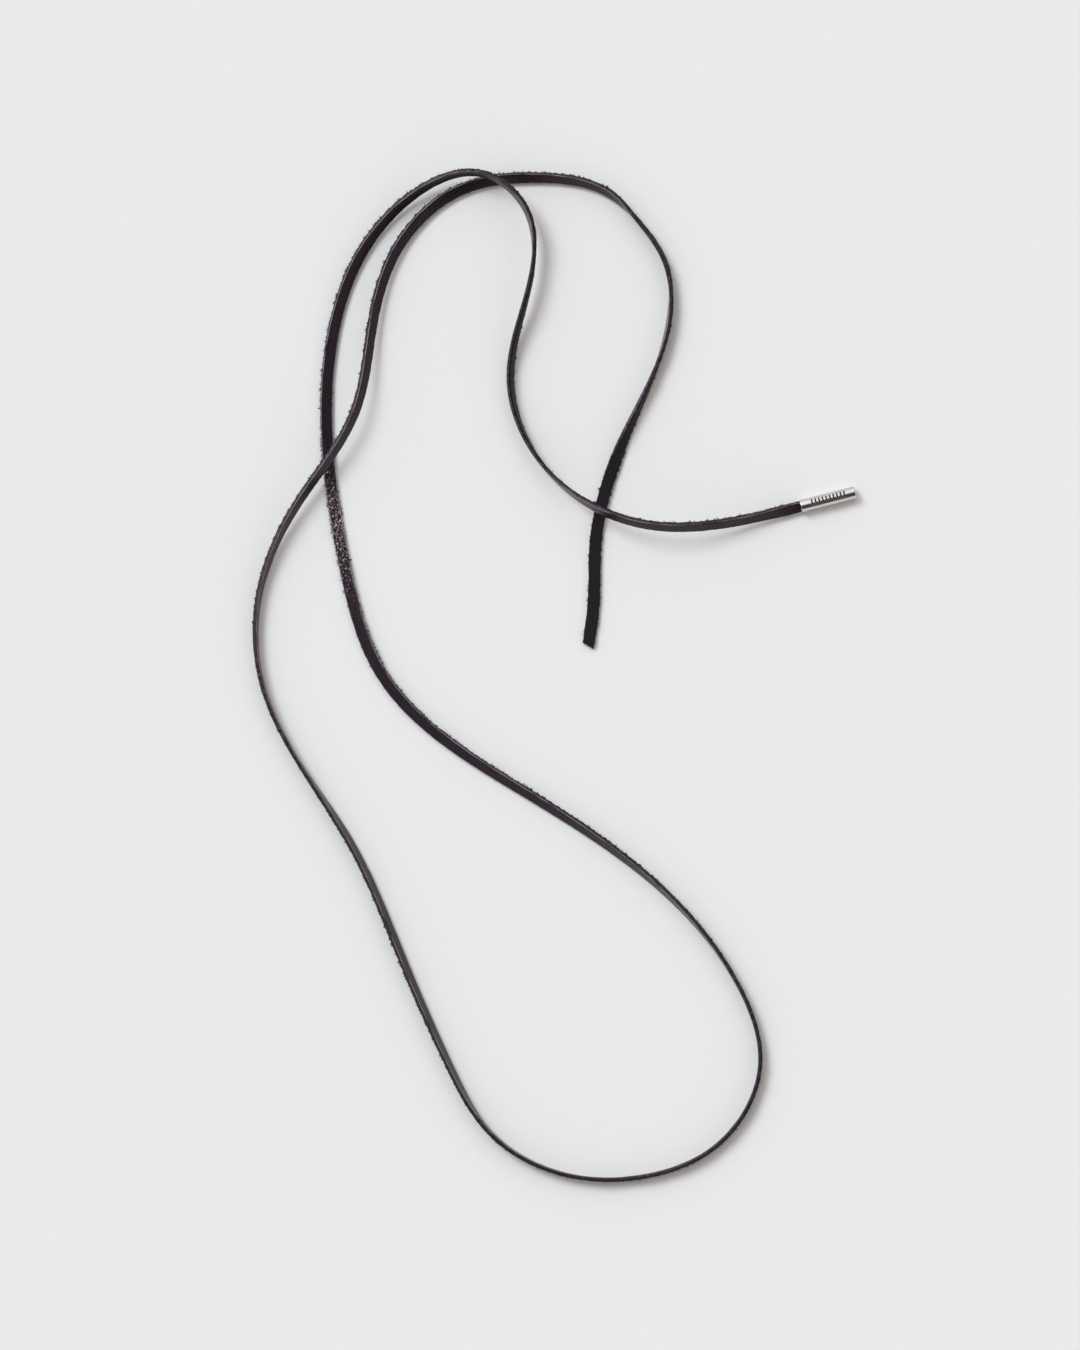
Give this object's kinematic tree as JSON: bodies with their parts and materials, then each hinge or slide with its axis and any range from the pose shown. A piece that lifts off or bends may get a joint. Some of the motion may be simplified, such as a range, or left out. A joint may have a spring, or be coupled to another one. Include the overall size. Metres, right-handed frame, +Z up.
{
  "type": "leather cord necklace",
  "caption": "Flat dark leather lace with one bare slanted end and a small round metal tube on the other, laid down open in loose loops, to wear round the neck.",
  "frame": {"origin": "middle of the ground that the laid-out necklace covers, at the height that it rests on", "axes": "+Z up, +Y along the laid-out necklace from its long lower loop to its upper loops, +X to the right of that, towards the metal tube"},
  "size_m": [0.1568, 0.263, 0.0086],
  "materials": {
    "lace_leather": "dark brown-black, suede on one side and satin grain on the other",
    "tube_metal": "polished"
  },
  "bodies": {
    "root": {"leather_lace": "lace_leather", "end_tube": "tube_metal"}
  },
  "joints": []
}
